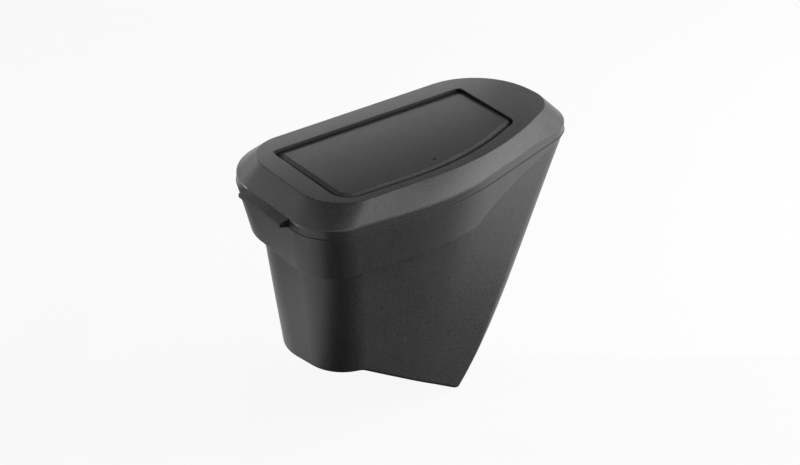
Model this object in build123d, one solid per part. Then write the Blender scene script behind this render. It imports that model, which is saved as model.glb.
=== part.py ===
from build123d import *
import math
import os

# Drop-in car litter bin: a tapered bin with a hanging collar, a lift-off lid and a sprung push flap.
# Millimetres. X runs along the bin, from the upright end with the pull tab to the raked end.
# Y runs from the bowed front to the straight back. Z is up, and zero is the underside of the collar.

# Walls and clearances
WALL = 2.0
RIB_WALL = 1.6
RIB_DEPTH = 6.0
THROAT_WALL = 1.6
LID_FIT = 0.4
RIM_SHOW = 0.4
FLAP_GAP = 0.9
STOP_GAP = 0.3
PIN_FIT = 0.05
PRESS_FIT = 0.02
END_PLAY = 0.4
LEAST_ROUND = 0.5

# Heights of the bands, from the collar's underside to the lid's top
COLLAR_HEIGHT = 29.5
SKIRT_HEIGHT = 5.9
CHAMFER_DROP = 9.3

# Rounding of the outer edges
TOP_ROUND = 1.2
CHAMFER_ROUND = 1.5
SKIRT_ROUND = 0.3
COLLAR_ROUND = 0.8
FOOT_ROUND = 2.5

# Outline of the lid's flat top: corner points before rounding, and the rounding radii
END_LEAN = 5.0
TOP_LEFT = -95.6
TOP_BACK = 51.0
TOP_FRONT_LEFT = -45.8
TOP_MID_X = 31.9
TOP_MID_Y = -49.2
TOP_RIGHT_X = 103.4
TOP_RIGHT_Y = -13.1
TOP_R_BACK_LEFT = 26.4
TOP_R_FRONT_LEFT = 30.5
TOP_R_MID = 205.0
TOP_R_FRONT_RIGHT = 25.0
TOP_R_BACK_RIGHT = 46.0

# Outline of the skirt and the bin's rim
RIM_LEFT = -110.1
RIM_BACK = 62.6
RIM_FRONT_LEFT = -55.0
RIM_MID_X = -9.5
RIM_MID_Y = -64.2
RIM_RIGHT_X = 111.8
RIM_RIGHT_Y = -29.0
RIM_R_BACK_LEFT = 41.0
RIM_R_FRONT_LEFT = 29.0
RIM_R_MID = 170.0
RIM_R_FRONT_RIGHT = 27.5
RIM_R_BACK_RIGHT = 62.0

# How far the collar's foot stands inside the rim, side by side, and its corner radii at the raked end
COLLAR_IN_LEFT = 3.8
COLLAR_IN_FRONT = 2.9
COLLAR_IN_SLANT = 6.0
COLLAR_IN_RIGHT = 26.0
COLLAR_IN_BACK = 9.0
COLLAR_R_FRONT_RIGHT = 46.0
COLLAR_R_BACK_RIGHT = 34.0

# The lower body: how far it stands inside the rim at the rim's level, and its corners at the foot's level
BODY_IN_LEFT = 6.3
BODY_IN_FRONT = 4.4
BODY_IN_BACK = 12.0
BODY_R_BACK_RIGHT = 50.0
FOOT_DEPTH = 175.0
FOOT_LEFT = -103.8
FOOT_BACK = 9.5
FOOT_FRONT_LEFT_X = -84.2
FOOT_FRONT_LEFT_Y = -42.4
FOOT_MID_X = -30.5
FOOT_MID_Y = -43.0
FOOT_RUN_ANGLE = -0.9
FOOT_R_BACK_LEFT = 24.0
FOOT_R_FRONT_LEFT = 26.8
FOOT_R_RIGHT = 13.0
# The raked end: how far it has come in at each depth below the rim
RAKE_DEPTHS = (0.0, 30.0, 70.0, 115.0, FOOT_DEPTH)
RAKE_IN = (0.0, 20.8, 44.4, 69.5, 113.5)

# The bottom: a short level heel at the upright end, then a ramp down to the raked end
HEEL_DEPTH = 77.5
HEEL_END = -72.4
RAMP_SLOPE = 32.0
HEEL_BEND = 10.0

# The opening in the lid and the flap in it
OPEN_LEFT = -81.5
OPEN_BACK = 36.6
OPEN_FRONT_LEFT = -40.3
OPEN_MID_X = 11.8
OPEN_MID_Y = -43.8
OPEN_RIGHT_X = 65.9
OPEN_RIGHT_Y = -21.7
OPEN_R_BACK = 3.5
OPEN_R_FRONT_LEFT = 14.0
OPEN_R_MID = 190.0
OPEN_R_FRONT_RIGHT = 7.5
THROAT_DEPTH = 4.5
FLAP_BACK_DROP = 2.0
FLAP_FRONT_DROP = 0.6
FLAP_BEVEL = 5.5
FLAP_BEVEL_DROP = 2.2
FLAP_WALL = 2.2
FLAP_SIDE = 3.0
FLANGE_REACH = 2.0
FLANGE_WALL = 1.2
FLANGE_FROM_ROD = 2.0
PUSH_MARK_X = -5.2
PUSH_MARK_Y = -29.7
PUSH_MARK_RADIUS = 1.0
PUSH_MARK_DEPTH = 0.4

# The pull tab on the upright end
TAB_REACH = 6.2
TAB_LENGTH = 45.0
TAB_CENTRE = -2.0
TAB_DROOP = 1.3
TAB_TIP = 2.5
TAB_ROOT = 0.3

# The flap's hinge: a steel rod through lugs under the lid and knuckles under the flap, and its spring
ROD_RADIUS = 1.5
ROD_FROM_BACK = 4.0
ROD_DROP = 9.0
KNUCKLE_RADIUS = 3.2
KNUCKLE_LENGTH = 12.0
LUG_WALL = 4.0
LUG_FROM_END = 6.0
LUG_ARM_RISE = 2.2
LUG_POST = 5.0
LUG_BLIND = 1.0
WEB_WALL = 4.8
SPRING_WIRE = 0.9
SPRING_RADIUS = 2.5
SPRING_PITCH = 1.2
SPRING_TURNS = 5
SPRING_FRONT_LEG = 14.0
SPRING_BACK_LEG = 7.0
PAD_WIDTH = 2.6
PAD_LENGTH = 4.0

# Levels and places that follow
RIM_Z = COLLAR_HEIGHT
CHAMFER_Z = RIM_Z + SKIRT_HEIGHT
TOP_Z = CHAMFER_Z + CHAMFER_DROP
CHAMFER_ANGLE = math.atan2(CHAMFER_DROP, TOP_LEFT - RIM_LEFT)
THROAT_Z = TOP_Z - THROAT_DEPTH
FLANGE_Z = THROAT_Z - STOP_GAP
FLAP_BACK_Y = OPEN_BACK - FLAP_GAP
FLAP_BACK_Z = TOP_Z - FLAP_BACK_DROP
FLAP_TILT = math.degrees(math.atan2(FLAP_BACK_DROP - FLAP_FRONT_DROP, OPEN_BACK - OPEN_MID_Y))
ROD_Y = FLAP_BACK_Y - ROD_FROM_BACK
ROD_Z = TOP_Z - ROD_DROP
LEFT_LUG_X = OPEN_LEFT + LUG_FROM_END
RIGHT_LUG_X = OPEN_RIGHT_X - LUG_FROM_END - LUG_WALL
LEFT_KNUCKLE_X = LEFT_LUG_X + LUG_WALL + END_PLAY
RIGHT_KNUCKLE_X = RIGHT_LUG_X - END_PLAY - KNUCKLE_LENGTH
SPRING_X = LEFT_KNUCKLE_X + KNUCKLE_LENGTH + END_PLAY + SPRING_WIRE
SPRING_LENGTH = SPRING_PITCH * SPRING_TURNS
PAD_Z = ROD_Z + SPRING_RADIUS + SPRING_WIRE / 2 + PIN_FIT

# Points on the bowed front, how near counts as touching, how far a cut runs past what it cuts, a far reach
FRONT_STEPS = 8
NEAR = 0.05
PAST = 1.0
FAR = 400.0


def corner_points(left, back, front_left, mid, right):
    """Five corners, counter-clockwise from the back left one. The end on the right leans back a little."""
    lean = (back - right[1]) * math.tan(math.radians(END_LEAN))
    return [(left, back), (left, front_left), mid, right, (right[0] - lean, back)]


def inset(points, amounts):
    """Moves each side of a polygon inwards by its own amount."""
    count = len(points)
    lines = []
    for i in range(count):
        (x0, y0), (x1, y1) = points[i], points[(i + 1) % count]
        length = math.hypot(x1 - x0, y1 - y0)
        ux, uy = (x1 - x0) / length, (y1 - y0) / length
        lines.append((x0 - uy * amounts[i], y0 + ux * amounts[i], ux, uy))
    moved = []
    for i in range(count):
        ax, ay, aux, auy = lines[i - 1]
        bx, by, bux, buy = lines[i]
        cross = aux * buy - auy * bux
        t = ((bx - ax) * buy - (by - ay) * bux) / cross
        moved.append((ax + aux * t, ay + auy * t))
    return moved


def outline(points, radii, z):
    """A closed wire through the corners, each rounded by its own radius. The bowed front is one curve."""
    corners = []
    count = len(points)
    for i in range(count):
        here, before, after = Vector(*points[i]), Vector(*points[i - 1]), Vector(*points[(i + 1) % count])
        u, w = (before - here).normalized(), (after - here).normalized()
        half = math.acos(u.dot(w)) / 2
        reach = radii[i] / math.tan(half)
        crown = here + (u + w).normalized() * (radii[i] / math.sin(half) - radii[i])
        corners.append((here + u * reach, crown, here + w * reach))
    back_left, front_left, mid, front_right, back_right = [ThreePointArc(*c) for c in corners]
    bow = Wire([Line(front_left @ 1, mid @ 0), mid, Line(mid @ 1, front_right @ 0)])
    front = Spline([bow @ (i / FRONT_STEPS) for i in range(FRONT_STEPS + 1)], tangents=[bow % 0, bow % 1])
    edges = [back_left, Line(back_left @ 1, front_left @ 0), front_left, front, front_right,
             Line(front_right @ 1, back_right @ 0), back_right, Line(back_right @ 1, back_left @ 0)]
    return Wire(edges).moved(Location((0, 0, z)))


def prism(points, radii, low, high):
    return Solid.extrude(Face(outline(points, radii, low)), Vector(0, 0, high - low))


def shrink(radii, amount):
    return [max(r - amount, LEAST_ROUND) for r in radii]


TOP = corner_points(TOP_LEFT, TOP_BACK, TOP_FRONT_LEFT, (TOP_MID_X, TOP_MID_Y), (TOP_RIGHT_X, TOP_RIGHT_Y))
TOP_RADII = [TOP_R_BACK_LEFT, TOP_R_FRONT_LEFT, TOP_R_MID, TOP_R_FRONT_RIGHT, TOP_R_BACK_RIGHT]
RIM = corner_points(RIM_LEFT, RIM_BACK, RIM_FRONT_LEFT, (RIM_MID_X, RIM_MID_Y), (RIM_RIGHT_X, RIM_RIGHT_Y))
RIM_RADII = [RIM_R_BACK_LEFT, RIM_R_FRONT_LEFT, RIM_R_MID, RIM_R_FRONT_RIGHT, RIM_R_BACK_RIGHT]


def between(start, end, share):
    return start + (end - start) * share


def collar_section(z, extra):
    """The collar's outline at a level between its foot and the rim, moved in by an extra wall."""
    t = (RIM_Z - z) / COLLAR_HEIGHT
    amounts = [COLLAR_IN_LEFT * t + extra, COLLAR_IN_FRONT * t + extra, COLLAR_IN_SLANT * t + extra,
               COLLAR_IN_RIGHT * t + extra, COLLAR_IN_BACK * t + extra]
    feet = RIM_RADII[:3] + [COLLAR_R_FRONT_RIGHT, COLLAR_R_BACK_RIGHT]
    radii = [between(r, f, t) for r, f in zip(RIM_RADII, feet)]
    return outline(inset(RIM, amounts), shrink(radii, extra), z)


def body_section(depth, come_in, extra):
    """The lower body's outline at a depth below the rim, its raked end come in by an amount."""
    share = depth / FOOT_DEPTH
    rim = inset(RIM, [BODY_IN_LEFT, BODY_IN_FRONT, BODY_IN_FRONT, 0.0, BODY_IN_BACK])
    rim[3] = RIM[3]  # the ledge under the collar runs out at the raked end
    rim_angle = math.degrees(math.atan2(rim[3][1] - rim[2][1], rim[3][0] - rim[2][0]))
    mid = (between(rim[2][0], FOOT_MID_X, share), between(rim[2][1], FOOT_MID_Y, share))
    right_x = rim[3][0] - come_in
    slope = math.tan(math.radians(between(rim_angle, FOOT_RUN_ANGLE, share)))
    right = (right_x, mid[1] + slope * (right_x - mid[0]))
    points = corner_points(between(rim[0][0], FOOT_LEFT, share), between(rim[0][1], FOOT_BACK, share),
                           between(rim[1][1], FOOT_FRONT_LEFT_Y, share), mid, right)
    points[1] = (between(rim[1][0], FOOT_FRONT_LEFT_X, share), points[1][1])
    feet = [FOOT_R_BACK_LEFT, FOOT_R_FRONT_LEFT, RIM_R_MID, FOOT_R_RIGHT, FOOT_R_RIGHT]
    radii = [between(r, f, share) for r, f in zip(RIM_RADII[:4] + [BODY_R_BACK_RIGHT], feet)]
    return outline(inset(points, [extra] * 5), shrink(radii, extra), RIM_Z - depth)


def bin_form(extra):
    """The bin's outer form, or its hollow when a wall is taken off, before the bottom is cut."""
    collar = Solid.make_loft([collar_section(RIM_Z, extra), collar_section(extra, extra)], ruled=True)
    body = Solid.make_loft([body_section(d, r, extra) for d, r in zip(RAKE_DEPTHS, RAKE_IN)])
    return collar + body


def below_bottom(lift):
    """Everything under the level heel and the ramp, raised square to the ramp by a wall."""
    slope = math.radians(RAMP_SLOPE)
    rise = lift * math.tan(slope / 2)
    heel = Vector(HEEL_END + rise, 0, lift - HEEL_DEPTH)
    ramp = heel + Vector(FAR, 0, -FAR * math.tan(slope))
    left, deep = heel.X - FAR, ramp.Z - FAR
    path = FilletPolyline((left, 0, heel.Z), heel, ramp, radius=HEEL_BEND - lift)
    close = Polyline(ramp, (ramp.X, 0, deep), (left, 0, deep), (left, 0, heel.Z))
    face = Face(Wire(path.edges() + close.edges()))
    return Solid.extrude(face, Vector(0, 2 * FAR, 0)).moved(Location((0, -FAR, 0)))


def level_edges(form, z):
    """The edges that lie in one level plane."""
    return [e for e in form.edges() if all(abs((e @ t).Z - z) < NEAR for t in (0, 0.5, 1))]


def bottom_height(x):
    """Height of the outer bottom at a place along the bin."""
    slope = math.radians(RAMP_SLOPE)
    reach = HEEL_BEND * math.tan(slope / 2)
    along = x - HEEL_END
    if along < -reach:
        return -HEEL_DEPTH
    if along < reach * math.cos(slope):
        return -HEEL_DEPTH - HEEL_BEND + math.sqrt(HEEL_BEND**2 - (along + reach)**2)
    return -HEEL_DEPTH - along * math.tan(slope)


def on_bottom(edge):
    middle = edge @ 0.5
    return abs(middle.Z - bottom_height(middle.X)) < NEAR


def make_bin_body():
    form = bin_form(0.0)
    collar_foot = collar_section(0.0, 0.0)
    collar_edges = [e for e in level_edges(form, 0.0) if collar_foot.distance_to(e @ 0.5) < NEAR]
    form = fillet(collar_edges, COLLAR_ROUND)
    form = form - below_bottom(0.0)
    form = fillet([e for e in form.edges() if e.center().Z < 0 and on_bottom(e)], FOOT_ROUND)
    return form - (bin_form(WALL) - below_bottom(WALL))


OPEN = [(OPEN_LEFT, OPEN_BACK), (OPEN_LEFT, OPEN_FRONT_LEFT), (OPEN_MID_X, OPEN_MID_Y),
        (OPEN_RIGHT_X, OPEN_RIGHT_Y), (OPEN_RIGHT_X, OPEN_BACK)]
OPEN_RADII = [OPEN_R_BACK, OPEN_R_FRONT_LEFT, OPEN_R_MID, OPEN_R_FRONT_RIGHT, OPEN_R_BACK]


def box(low, high):
    size = Vector(*high) - Vector(*low)
    return Solid.make_box(size.X, size.Y, size.Z, Plane(low))


def on_rod(radius, start, length):
    """A cylinder on the hinge axis."""
    return Solid.make_cylinder(radius, length, Plane((start, ROD_Y, ROD_Z), z_dir=(1, 0, 0)))


def pull_tab():
    """A lip on the upright end, thick at the root and drooping to a blunt tip."""
    tip = RIM_LEFT - TAB_REACH
    root = RIM_LEFT + WALL / 2
    profile = Polyline((root, 0, CHAMFER_Z), (RIM_LEFT, 0, CHAMFER_Z), (tip, 0, CHAMFER_Z - TAB_DROOP),
                       (tip, 0, CHAMFER_Z - TAB_DROOP - TAB_TIP), (RIM_LEFT, 0, RIM_Z + TAB_ROOT),
                       (root, 0, RIM_Z + TAB_ROOT), close=True)
    lip = Solid.extrude(Face(Wire(profile.edges())), Vector(0, TAB_LENGTH, 0))
    return lip.moved(Location((0, TAB_CENTRE - TAB_LENGTH / 2, 0)))


def lid_shell():
    """The lid's flat top, its chamfer and its skirt, hollow underneath."""
    skirt, skirt_radii = inset(RIM, [RIM_SHOW] * 5), shrink(RIM_RADII, RIM_SHOW)
    top = outline(TOP, TOP_RADII, TOP_Z)
    shell = Solid.make_loft([outline(skirt, skirt_radii, CHAMFER_Z), top], ruled=True)
    shell = shell + prism(skirt, skirt_radii, RIM_Z, CHAMFER_Z)
    for z, radius in ((CHAMFER_Z, CHAMFER_ROUND), (TOP_Z, TOP_ROUND), (RIM_Z, SKIRT_ROUND)):
        shell = fillet(level_edges(shell, z), radius)
    top_in = WALL * math.tan(CHAMFER_ANGLE / 2)
    skirt_z = CHAMFER_Z - WALL * math.tan(math.pi / 4 - CHAMFER_ANGLE / 2)
    inside, inside_radii = inset(skirt, [WALL] * 5), shrink(skirt_radii, WALL)
    under_top = outline(inset(TOP, [top_in] * 5), shrink(TOP_RADII, top_in), TOP_Z - WALL)
    void = Solid.make_loft([outline(inside, inside_radii, skirt_z), under_top], ruled=True)
    return shell - (void + prism(inside, inside_radii, RIM_Z, skirt_z))


def locating_rib():
    """The rib that drops inside the rim and follows the collar's slope, with its root on the skirt."""
    near = WALL + LID_FIT
    far = near + RIB_WALL
    rib = Solid.make_loft([collar_section(RIM_Z, near), collar_section(RIM_Z - RIB_DEPTH, near)], ruled=True)
    root = prism(inset(RIM, [WALL / 2] * 5), shrink(RIM_RADII, WALL / 2), RIM_Z, RIM_Z + RIB_WALL)
    clear = Solid.make_loft([collar_section(RIM_Z, far), collar_section(RIM_Z - RIB_DEPTH, far)], ruled=True)
    return rib + root - clear - prism(inset(RIM, [far] * 5), shrink(RIM_RADII, far), RIM_Z, RIM_Z + RIB_WALL)


def hinge_lug(x):
    """An arm that comes down behind the opening and forward to carry the rod."""
    low = ROD_Z - KNUCKLE_RADIUS
    back = OPEN_BACK + LUG_POST
    arm = box((x, ROD_Y, low), (x + LUG_WALL, back, ROD_Z + LUG_ARM_RISE))
    post = box((x, OPEN_BACK, low), (x + LUG_WALL, back, TOP_Z - WALL / 2))
    return on_rod(KNUCKLE_RADIUS, x, LUG_WALL) + arm + post


def make_lid_frame():
    round_opening = inset(OPEN, [-THROAT_WALL] * 5)
    throat = prism(round_opening, shrink(OPEN_RADII, -THROAT_WALL), THROAT_Z, TOP_Z - WALL / 2)
    opening = prism(OPEN, OPEN_RADII, THROAT_Z - PAST, TOP_Z + PAST)
    pad = box((SPRING_X - PAD_WIDTH / 2, OPEN_BACK, PAD_Z),
              (SPRING_X + PAD_WIDTH / 2, OPEN_BACK + THROAT_WALL, THROAT_Z + WALL / 2))
    lid = lid_shell() + throat - opening
    lid = lid + locating_rib() + pull_tab() + hinge_lug(LEFT_LUG_X) + hinge_lug(RIGHT_LUG_X) + pad
    return lid - on_rod(ROD_RADIUS + PRESS_FIT, LEFT_LUG_X + LUG_BLIND, RIGHT_LUG_X + LUG_WALL - LEFT_LUG_X)


def tilted(form):
    """Leans a form drawn level at the flap's back edge so that its front edge stands higher."""
    return form.rotate(Axis((0, FLAP_BACK_Y, FLAP_BACK_Z), (1, 0, 0)), -FLAP_TILT)


def flap_block(edge, radii, low):
    """The flap's outline under its leaning top, with a bevel at the upright end and along the front."""
    bevel_z = FLAP_BACK_Z - 2 * FLAP_BEVEL_DROP
    wide, wide_radii = inset(edge, [-FLAP_BEVEL] * 5), shrink(radii, -FLAP_BEVEL)
    narrow, narrow_radii = inset(edge, [FLAP_BEVEL] * 3 + [-FLAP_BEVEL] * 2), shrink(radii, FLAP_BEVEL)
    bevel = Solid.make_loft([outline(wide, wide_radii, bevel_z), outline(narrow, narrow_radii, FLAP_BACK_Z)],
                            ruled=True)
    bevel = bevel + prism(wide, wide_radii, low - FLAP_BEVEL, bevel_z)
    return prism(edge, radii, low, TOP_Z) & tilted(bevel)


def make_flap():
    edge, radii = inset(OPEN, [FLAP_GAP] * 5), shrink(OPEN_RADII, FLAP_GAP)
    low = FLANGE_Z - FLANGE_WALL
    reach = FLAP_GAP + FLANGE_REACH
    block = flap_block(edge, radii, low)
    flange = prism(inset(edge, [-reach] * 4 + [0.0]), shrink(radii, -reach), low, FLANGE_Z)
    flange = flange - box((-FAR, ROD_Y - FLANGE_FROM_ROD, low - PAST), (FAR, FAR, FLANGE_Z + PAST))
    under = box((-FAR, -FAR, low - FAR), (FAR, FAR, FLAP_BACK_Z - FLAP_WALL))
    cavity = prism(inset(edge, [FLAP_SIDE] * 4 + [-FLAP_SIDE]), shrink(radii, FLAP_SIDE), low - PAST, TOP_Z)
    flap = block + flange - (cavity & tilted(under))
    web_z = FLAP_BACK_Z - FLAP_WALL / 2
    for x in (LEFT_KNUCKLE_X, RIGHT_KNUCKLE_X):
        web = box((x, ROD_Y - WEB_WALL / 2, ROD_Z), (x + KNUCKLE_LENGTH, ROD_Y + WEB_WALL / 2, web_z))
        flap = flap + web + on_rod(KNUCKLE_RADIUS, x, KNUCKLE_LENGTH)
    pad_x = SPRING_X + SPRING_LENGTH
    pad_y = ROD_Y - SPRING_FRONT_LEG + SPRING_WIRE
    pad_low = (pad_x - PAD_WIDTH / 2, pad_y, PAD_Z)
    flap = flap + box(pad_low, (pad_x + PAD_WIDTH / 2, pad_y + PAD_LENGTH, web_z))
    top = FLAP_BACK_Z + (FLAP_BACK_Y - PUSH_MARK_Y) * math.tan(math.radians(FLAP_TILT))
    mark = Plane((PUSH_MARK_X, PUSH_MARK_Y, top - PUSH_MARK_DEPTH))
    flap = flap - Solid.make_cylinder(PUSH_MARK_RADIUS, FLAP_WALL, mark)
    bore_x = LEFT_KNUCKLE_X - PAST
    return flap - on_rod(ROD_RADIUS + PIN_FIT, bore_x, RIGHT_KNUCKLE_X + KNUCKLE_LENGTH + PAST - bore_x)


def make_hinge_rod():
    start = LEFT_LUG_X + LUG_BLIND
    return on_rod(ROD_RADIUS, start, RIGHT_LUG_X + LUG_WALL - start)


def make_flap_spring():
    """A coil round the rod, with one leg back under the lid's pad and one forward under the flap's."""
    coil = Edge.make_helix(SPRING_PITCH, SPRING_LENGTH, SPRING_RADIUS)
    coil = coil.moved(Location(Plane((SPRING_X, ROD_Y, ROD_Z), x_dir=(0, 0, 1), z_dir=(1, 0, 0))))
    start, end = coil @ 0, coil @ 1
    wire = SPRING_WIRE / 2
    section = Wire(Edge.make_circle(wire, Plane(start, z_dir=coil % 0)))
    spring = Solid.sweep(Face(section), path=Wire(coil))
    front = Vector(0, -1, 0)
    spring = spring + Solid.make_sphere(wire, Plane(start)) + Solid.make_sphere(wire, Plane(end))
    spring = spring + Solid.make_cylinder(wire, SPRING_BACK_LEG, Plane(start, z_dir=-front))
    return spring + Solid.make_cylinder(wire, SPRING_FRONT_LEG, Plane(end, z_dir=front))


PIECES = {
    "bin_body": make_bin_body(),
    "lid_frame": make_lid_frame(),
    "flap": make_flap(),
    "hinge_rod": make_hinge_rod(),
    "flap_spring": make_flap_spring(),
}
os.makedirs("parts", exist_ok=True)
for name, piece in PIECES.items():
    export_step(piece, f"parts/{name}.step")
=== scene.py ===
import math
import bpy
from mathutils import Matrix, Vector


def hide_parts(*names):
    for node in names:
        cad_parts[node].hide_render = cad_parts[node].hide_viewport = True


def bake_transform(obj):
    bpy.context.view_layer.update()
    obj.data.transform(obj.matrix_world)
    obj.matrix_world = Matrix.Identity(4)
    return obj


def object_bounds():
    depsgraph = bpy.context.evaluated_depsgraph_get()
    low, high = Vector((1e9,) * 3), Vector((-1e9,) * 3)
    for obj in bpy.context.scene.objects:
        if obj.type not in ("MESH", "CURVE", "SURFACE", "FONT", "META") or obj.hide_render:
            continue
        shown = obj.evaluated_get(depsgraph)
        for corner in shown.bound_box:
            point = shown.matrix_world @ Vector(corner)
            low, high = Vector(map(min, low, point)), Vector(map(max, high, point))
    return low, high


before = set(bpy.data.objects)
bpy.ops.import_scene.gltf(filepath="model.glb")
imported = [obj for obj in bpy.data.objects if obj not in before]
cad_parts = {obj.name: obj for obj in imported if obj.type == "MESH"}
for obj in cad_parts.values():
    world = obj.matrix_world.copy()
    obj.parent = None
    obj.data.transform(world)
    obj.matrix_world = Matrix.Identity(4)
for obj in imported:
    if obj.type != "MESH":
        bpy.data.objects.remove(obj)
cad_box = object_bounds()

# The camera, in metres and degrees
IMAGE_WIDTH = 800
FOCAL_PIXELS = 2000.0
SENSOR_MM = 36.0
CAMERA_AZIMUTH = -36.4
CAMERA_ELEVATION = 31.1
CAMERA_DISTANCE = 1.24
CAMERA_AIM = Vector((-0.0318, -0.0303, 0.0009))
CAMERA_NEAR = 0.05

# Colours, linear
CHARCOAL = (0.055, 0.055, 0.056)
LID_CHARCOAL = (0.058, 0.058, 0.059)
FLAP_CHARCOAL = (0.03, 0.03, 0.031)
ROD_STEEL = (0.55, 0.55, 0.56)
SPRING_STEEL = (0.36, 0.36, 0.37)
FLOOR_COLOUR = (0.8, 0.8, 0.8)

# The plastic's grain, cloudiness and scuffs. Scales are texture cycles per metre, and heights are in metres.
GRAIN_SCALE = 900.0
GRAIN_DETAIL = 2.0
GRAIN_HEIGHT = 0.00022
GRAIN_STRENGTH = 0.5
GRAIN_TONES = (0.74, 1.26)
GRAIN_ROUGHNESS = 0.04
CLOUD_SCALE = 38.0
CLOUD_DETAIL = 3.0
CLOUD_TONES = (0.95, 1.05)
SCUFF_SCALE = 160.0
SCUFF_DETAIL = 3.0
SCUFF_STRETCH = (1.0, 1.0, 0.15)
SCUFF_ROUGHNESS = (-0.02, 0.02)

# Edges made lighter, partly wear and partly a painted highlight: the rounding looked for, in metres, and how far the
# surface turns within it, as a cosine
EDGE_RADIUS = 0.0005
EDGE_SAMPLES = 4
EDGE_TURN = (0.85, 0.995)
EDGE_DULLING = 0.3

# Shade in the joint round the flap: its reach, in metres, and the openness from dark to clear
JOINT_REACH = 0.004
JOINT_SAMPLES = 8
JOINT_OPENNESS = (0.55, 0.9)

# Painted light and shade on the flap by depth below its face, in metres: a painted lighter band on the bevel's upper
# half, then painted shade in the gap
BEVEL_PAINTED_LIGHT_TONES = (
    (0.0, 1.0),
    (0.00015, 3.6),
    (0.00098, 3.6),
    (0.00113, 0.2),
    (0.0021, 0.2),
    (0.0023, 1.0),
)
FACE_UPWARD = 0.9

# The drawn lines on the steel, and how they stretch along the rod and round the wire
LINE_SCALE = 1800.0
LINE_DETAIL = 3.0
LINE_HEIGHT = 0.00001
LINE_STRENGTH = 0.3
LINE_TONES = (0.85, 1.1)
LINE_ROUGHNESS = (0.26, 0.42)
ROD_STRETCH = (0.02, 1.0, 1.0)
SPRING_STRETCH = (1.0, 0.1, 1.0)

# The studio, in metres and watts. Places beside the object are to the camera's right, towards the camera, and up.
WORLD_FILL = 0.08
BACKGROUND_WHITE = 0.92
FLOOR_SIZE = 8.0
FLOOR_ROUGHNESS = 0.9
LAMP_TARGET = (0.0, 0.0, -0.03)
LEFT_BOX_PLACE = (-0.6, 0.0, -0.05)
LEFT_BOX_SIZE = (0.4, 0.22)
LEFT_BOX_POWER = 1.5
RIGHT_BOX_PLACE = (0.65, -0.2, 0.62)
RIGHT_BOX_SIZE = (0.7, 0.7)
RIGHT_BOX_POWER = 4.6
LOW_BOX_PLACE = (0.85, 0.0, 0.12)
LOW_BOX_SIZE = (0.9, 0.5)
LOW_BOX_POWER = 10.5

# A thin lamp behind the lid, and the point it lights, in the object's own frame
BACK_BOX_PLACE = (-0.01, 0.13, 0.085)
BACK_BOX_TARGET = (-0.01, 0.04, 0.045)
BACK_BOX_SIZE = (0.36, 0.02)
BACK_BOX_POWER = 0.045

# Black flags: two on the floor, one behind the camera, and one over the lid in the object's own frame
FLAG_LIFT = 0.0005
FLOOR_FLAG_PLACE = (0.245, 0.64)
FLOOR_FLAG_SIZE = (0.71, 1.3)
LEFT_FLAG_PLACE = (-0.365, -0.03)
LEFT_FLAG_SIZE = (0.29, 0.3)
CAMERA_FLAG_PLACE = (0.0, 1.6, 0.5)
CAMERA_FLAG_TARGET = (0.0, 0.0, 0.5)
CAMERA_FLAG_SIZE = (1.0, 1.5)
TOP_FLAG_PLACE = (0.045, 0.035, 0.125)
TOP_FLAG_SIZE = (0.31, 0.222)


def camera_axes():
    """Right, up and backward directions of the camera."""
    a, e = math.radians(CAMERA_AZIMUTH), math.radians(CAMERA_ELEVATION)
    back = Vector((math.sin(a) * math.cos(e), -math.cos(a) * math.cos(e), math.sin(e)))
    right = Vector((math.cos(a), math.sin(a), 0.0))
    return right, back.cross(right), back


def beside(place):
    """A point given to the camera's right, level towards the camera, and up from the origin."""
    right, _, back = camera_axes()
    level_back = Vector((back.x, back.y, 0.0)).normalized()
    return right * place[0] + level_back * place[1] + Vector((0.0, 0.0, place[2]))


def pointing(location, target):
    """A matrix at a place, with its -Z axis towards a target."""
    turn = (Vector(target) - Vector(location)).to_track_quat("-Z", "Y")
    return Matrix.Translation(location) @ turn.to_matrix().to_4x4()


def add_camera():
    right, up, back = camera_axes()
    data = bpy.data.cameras.new("camera")
    data.sensor_width = SENSOR_MM
    data.lens = FOCAL_PIXELS / IMAGE_WIDTH * SENSOR_MM
    data.clip_start = CAMERA_NEAR
    camera = bpy.data.objects.new("camera", data)
    bpy.context.collection.objects.link(camera)
    turn = Matrix((right, up, back)).transposed().to_4x4()
    camera.matrix_world = Matrix.Translation(CAMERA_AIM + back * CAMERA_DISTANCE) @ turn
    bpy.context.scene.camera = camera


def add_softbox(name, location, size, power, target=LAMP_TARGET, glossy=True):
    """A soft lamp that the camera doesn't see, kept out of reflections unless glossy."""
    data = bpy.data.lights.new(name, "AREA")
    data.shape = "RECTANGLE"
    data.size, data.size_y = size
    data.energy = power
    light = bpy.data.objects.new(name, data)
    bpy.context.collection.objects.link(light)
    light.matrix_world = pointing(location, target)
    light.visible_camera = False
    light.visible_glossy = glossy


def new_material(name):
    material = bpy.data.materials.new(name)
    material.use_nodes = True
    nodes, links = material.node_tree.nodes, material.node_tree.links
    return material, nodes, links, nodes["Principled BSDF"]


def noise(nodes, links, coords, scale, detail, stretch=None):
    """A noise texture in the object's own metres, stretched along the axes if asked."""
    texture = nodes.new("ShaderNodeTexNoise")
    texture.inputs["Scale"].default_value = scale
    texture.inputs["Detail"].default_value = detail
    source = coords.outputs["Object"]
    if stretch:
        mapping = nodes.new("ShaderNodeMapping")
        mapping.inputs["Scale"].default_value = stretch
        links.new(source, mapping.inputs["Vector"])
        source = mapping.outputs["Vector"]
    links.new(source, texture.inputs["Vector"])
    return texture.outputs["Fac"]


def spread(nodes, links, value, low, high, start=0.3, end=0.7):
    """Maps a value from start to end, by default a noise's usual range, to low to high."""
    node = nodes.new("ShaderNodeMapRange")
    node.inputs["From Min"].default_value = start
    node.inputs["From Max"].default_value = end
    node.inputs["To Min"].default_value = low
    node.inputs["To Max"].default_value = high
    links.new(value, node.inputs["Value"])
    return node.outputs["Result"]


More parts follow.
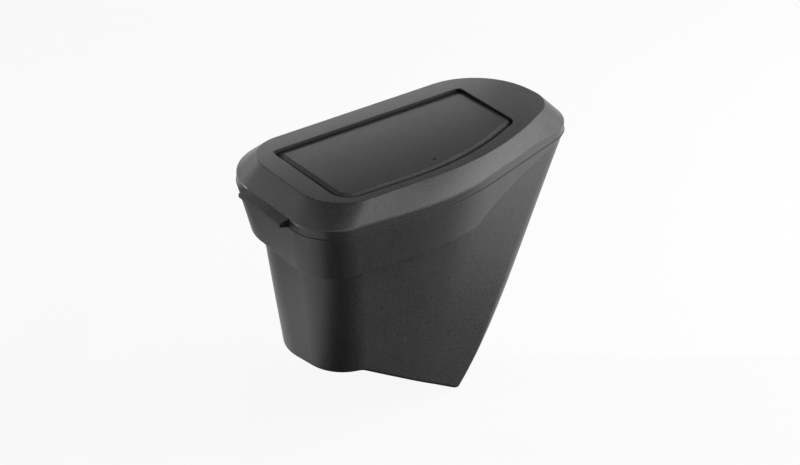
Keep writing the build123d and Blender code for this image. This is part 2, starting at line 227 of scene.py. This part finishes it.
def combine(nodes, links, operation, first, second):
    """One value made of two by a maths operation."""
    node = nodes.new("ShaderNodeMath")
    node.operation = operation
    links.new(first, node.inputs[0])
    links.new(second, node.inputs[1])
    return node.outputs["Value"]


def tinted(nodes, links, colour, tone):
    """A colour made lighter or darker by a tone."""
    tint = nodes.new("ShaderNodeVectorMath")
    tint.operation = "SCALE"
    tint.inputs[0].default_value = colour
    links.new(tone, tint.inputs["Scale"])
    return tint.outputs["Vector"]


def add_bump(nodes, links, shader, height, strength, distance):
    bump = nodes.new("ShaderNodeBump")
    bump.inputs["Strength"].default_value = strength
    bump.inputs["Distance"].default_value = distance
    links.new(height, bump.inputs["Height"])
    links.new(bump.outputs["Normal"], shader.inputs["Normal"])


def edge_share(nodes, links):
    """Near 1 on edges and near 0 on flat stretches."""
    bevel = nodes.new("ShaderNodeBevel")
    bevel.samples = EDGE_SAMPLES
    bevel.inputs["Radius"].default_value = EDGE_RADIUS
    geometry = nodes.new("ShaderNodeNewGeometry")
    dot = nodes.new("ShaderNodeVectorMath")
    dot.operation = "DOT_PRODUCT"
    links.new(bevel.outputs["Normal"], dot.inputs[0])
    links.new(geometry.outputs["Normal"], dot.inputs[1])
    return spread(nodes, links, dot.outputs["Value"], 1.0, 0.0, *EDGE_TURN)


def joint_shade(nodes, links):
    """1 on open surfaces, falling off deep in the joint between two pieces."""
    occlusion = nodes.new("ShaderNodeAmbientOcclusion")
    occlusion.samples = JOINT_SAMPLES
    occlusion.inputs["Distance"].default_value = JOINT_REACH
    return spread(nodes, links, occlusion.outputs["AO"], 0.0, 1.0, *JOINT_OPENNESS)


def painted_bevel_light_and_shade(nodes, links, coords, mesh):
    """The painted light and shade at a point of the flap, from its depth below the plane of the flap's face: a lighter
    band on the bevel, then shade in the gap.
    """
    upward = (p for p in mesh.polygons if p.normal.z > FACE_UPWARD)
    face = max(upward, key=lambda p: p.area)
    along = nodes.new("ShaderNodeVectorMath")
    along.operation = "DOT_PRODUCT"
    along.inputs[1].default_value = face.normal
    links.new(coords.outputs["Object"], along.inputs[0])
    level, deepest = face.normal.dot(face.center), BEVEL_PAINTED_LIGHT_TONES[-1][0]
    share = spread(nodes, links, along.outputs["Value"], 0.0, 1.0, level, level - deepest)
    brightest = max(tone for _, tone in BEVEL_PAINTED_LIGHT_TONES)
    ramp = nodes.new("ShaderNodeValToRGB")
    stops = ramp.color_ramp.elements
    while len(stops) < len(BEVEL_PAINTED_LIGHT_TONES):
        stops.new(0.5)
    for stop, (depth, tone) in zip(stops, BEVEL_PAINTED_LIGHT_TONES):
        stop.position = depth / deepest
        stop.color = (*[tone / brightest] * 3, 1.0)
    links.new(share, ramp.inputs["Fac"])
    return spread(nodes, links, ramp.outputs["Color"], 0.0, brightest, 0.0, 1.0)


def plastic(name, colour, roughness, edge_wear_and_highlight, gloss=0.5, painted_bevel_mesh=None):
    """Moulded plastic with a fine grain, faint cloudiness, scuffs, and edges made lighter, partly wear and partly a
    painted highlight.

    The flap's mesh, when given, is for the one material that also has painted light and shade on the bevel and painted
    shade in the joint.
    """
    material, nodes, links, shader = new_material(name)
    coords = nodes.new("ShaderNodeTexCoord")
    cloud = noise(nodes, links, coords, CLOUD_SCALE, CLOUD_DETAIL)
    scuff = noise(nodes, links, coords, SCUFF_SCALE, SCUFF_DETAIL, SCUFF_STRETCH)
    grain = noise(nodes, links, coords, GRAIN_SCALE, GRAIN_DETAIL)
    tones = [spread(nodes, links, cloud, *CLOUD_TONES), spread(nodes, links, grain, *GRAIN_TONES)]
    # For the flap only: painted shade in the joint, and painted light and shade on the bevel
    if painted_bevel_mesh:
        tones += [joint_shade(nodes, links), painted_bevel_light_and_shade(nodes, links, coords, painted_bevel_mesh)]
    shade = tones[0]
    for tone in tones[1:]:
        shade = combine(nodes, links, "MULTIPLY", shade, tone)
    edge_wear_and_highlight_mix = nodes.new("ShaderNodeMix")
    edge_wear_and_highlight_mix.data_type = "RGBA"
    edge_wear_and_highlight_mix.inputs["B"].default_value = (*[min(1.0, c * edge_wear_and_highlight) for c in colour], 1.0)
    links.new(tinted(nodes, links, colour, shade), edge_wear_and_highlight_mix.inputs["A"])
    edge = edge_share(nodes, links)
    links.new(edge, edge_wear_and_highlight_mix.inputs["Factor"])
    links.new(edge_wear_and_highlight_mix.outputs["Result"], shader.inputs["Base Color"])
    smooth, rough = roughness - GRAIN_ROUGHNESS, roughness + GRAIN_ROUGHNESS
    dulled = nodes.new("ShaderNodeMath")
    dulled.operation = "MULTIPLY_ADD"
    dulled.inputs[1].default_value = EDGE_DULLING
    links.new(edge, dulled.inputs[0])
    links.new(spread(nodes, links, grain, smooth, rough), dulled.inputs[2])
    scuffed = spread(nodes, links, scuff, *SCUFF_ROUGHNESS)
    finish = combine(nodes, links, "ADD", dulled.outputs["Value"], scuffed)
    links.new(finish, shader.inputs["Roughness"])
    add_bump(nodes, links, shader, grain, GRAIN_STRENGTH, GRAIN_HEIGHT)
    shader.inputs["Specular IOR Level"].default_value = gloss
    return material


def drawn_steel(name, colour, stretch):
    """Drawn steel with fine lines along the wire or rod."""
    material, nodes, links, shader = new_material(name)
    coords = nodes.new("ShaderNodeTexCoord")
    lines = noise(nodes, links, coords, LINE_SCALE, LINE_DETAIL, stretch)
    tone = spread(nodes, links, lines, *LINE_TONES)
    links.new(tinted(nodes, links, colour, tone), shader.inputs["Base Color"])
    links.new(spread(nodes, links, lines, *LINE_ROUGHNESS), shader.inputs["Roughness"])
    add_bump(nodes, links, shader, lines, LINE_STRENGTH, LINE_HEIGHT)
    shader.inputs["Metallic"].default_value = 1.0
    return material


def dress(node, material):
    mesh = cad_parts[node].data
    mesh.materials.clear()
    mesh.materials.append(material)


def wind_spring():
    """A copy of the spring, whose legs sit on the lid and under the flap, as an object of its own with its placing
    baked in; the CAD spring is hidden.
    """
    wire = bpy.data.objects.new("flap_spring_wire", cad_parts["flap_spring"].data.copy())
    bpy.context.collection.objects.link(wire)
    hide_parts("flap_spring")
    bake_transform(wire)


def seen_rays(nodes, links):
    """1 for rays that show the background itself: straight to the camera, in gloss or through glass."""
    path = nodes.new("ShaderNodeLightPath")
    seen = path.outputs["Is Camera Ray"]
    for name in ("Is Glossy Ray", "Is Transmission Ray"):
        seen = combine(nodes, links, "MAXIMUM", seen, path.outputs[name])
    return seen


def background(nodes, links, shader, output):
    """Shows near white to the rays that see the background, and the given shader to the rest."""
    white = nodes.new("ShaderNodeEmission")
    white.inputs["Strength"].default_value = 1.0
    share = nodes.new("ShaderNodeMath")
    share.operation = "MULTIPLY"
    share.inputs[1].default_value = BACKGROUND_WHITE
    links.new(seen_rays(nodes, links), share.inputs[0])
    mix = nodes.new("ShaderNodeMixShader")
    links.new(share.outputs["Value"], mix.inputs["Fac"])
    links.new(shader, mix.inputs[1])
    links.new(white.outputs["Emission"], mix.inputs[2])
    links.new(mix.outputs["Shader"], output.inputs["Surface"])


def add_world():
    world = bpy.data.worlds.new("studio")
    bpy.context.scene.world = world
    world.use_nodes = True
    nodes, links = world.node_tree.nodes, world.node_tree.links
    fill = nodes["Background"]
    fill.inputs["Color"].default_value = (1.0, 1.0, 1.0, 1.0)
    fill.inputs["Strength"].default_value = WORLD_FILL
    background(nodes, links, fill.outputs["Background"], nodes["World Output"])


def add_plane(name, matrix, size):
    """A flat sheet for the studio, centred on a matrix and facing its +Z."""
    x, y = size[0] / 2, size[1] / 2
    mesh = bpy.data.meshes.new(name)
    mesh.from_pydata([(-x, -y, 0), (x, -y, 0), (x, y, 0), (-x, y, 0)], [], [(0, 1, 2, 3)])
    sheet = bpy.data.objects.new(name, mesh)
    bpy.context.collection.objects.link(sheet)
    sheet.matrix_world = matrix
    return sheet


def add_floor(height):
    floor = add_plane("floor", Matrix.Translation((0.0, 0.0, height)), (FLOOR_SIZE, FLOOR_SIZE))
    material, nodes, links, shader = new_material("floor")
    shader.inputs["Base Color"].default_value = (*FLOOR_COLOUR, 1.0)
    shader.inputs["Roughness"].default_value = FLOOR_ROUGHNESS
    background(nodes, links, shader.outputs["BSDF"], nodes["Material Output"])
    floor.data.materials.append(material)


def add_flag(name, matrix, size):
    """A black flag that keeps reflected light off the side of the object that faces it."""
    flag = add_plane(name, matrix, size)
    material, _, _, shader = new_material("flag")
    shader.inputs["Base Color"].default_value = (0.0, 0.0, 0.0, 1.0)
    shader.inputs["Specular IOR Level"].default_value = 0.0
    flag.data.materials.append(material)
    flag.visible_camera = False
    flag.visible_shadow = False


def on_floor(place, height):
    """A matrix just above the floor, turned to the camera."""
    turn = Matrix.Rotation(math.radians(CAMERA_AZIMUTH), 4, "Z")
    return Matrix.Translation(beside((*place, height + FLAG_LIFT))) @ turn


flap_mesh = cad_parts["flap"].data
# The bin's edges, its rim among them, are made much lighter: some wear, mostly a painted highlight along the rim
dress("bin_body", plastic("bin_plastic_grain", CHARCOAL, roughness=0.42, edge_wear_and_highlight=2.2))
dress("lid_frame", plastic("lid_plastic_grain", LID_CHARCOAL, roughness=0.34, edge_wear_and_highlight=1.1))
# The flap also gets a painted lighter band on its bevel, and painted shade in its gap and joint
dress("flap", plastic("flap_plastic_grain", FLAP_CHARCOAL, roughness=0.33, edge_wear_and_highlight=1.3, gloss=0.42, painted_bevel_mesh=flap_mesh))
dress("hinge_rod", drawn_steel("rod_steel_drawn", ROD_STEEL, ROD_STRETCH))
dress("flap_spring", drawn_steel("spring_steel_drawn", SPRING_STEEL, SPRING_STRETCH))
wind_spring()

floor_z = cad_box[0][2]
add_softbox("left_box", beside(LEFT_BOX_PLACE), LEFT_BOX_SIZE, LEFT_BOX_POWER)
add_softbox("right_box", beside(RIGHT_BOX_PLACE), RIGHT_BOX_SIZE, RIGHT_BOX_POWER)
add_softbox("low_box", beside(LOW_BOX_PLACE), LOW_BOX_SIZE, LOW_BOX_POWER, glossy=False)
add_softbox("back_box", BACK_BOX_PLACE, BACK_BOX_SIZE, BACK_BOX_POWER, BACK_BOX_TARGET)
add_flag("floor_flag", on_floor(FLOOR_FLAG_PLACE, floor_z), FLOOR_FLAG_SIZE)
add_flag("left_flag", on_floor(LEFT_FLAG_PLACE, floor_z), LEFT_FLAG_SIZE)
add_flag("camera_flag", pointing(beside(CAMERA_FLAG_PLACE), CAMERA_FLAG_TARGET), CAMERA_FLAG_SIZE)
add_flag("top_flag", Matrix.Translation(TOP_FLAG_PLACE), TOP_FLAG_SIZE)
add_world()
add_floor(floor_z)
add_camera()
bpy.context.scene.view_settings.view_transform = "Standard"
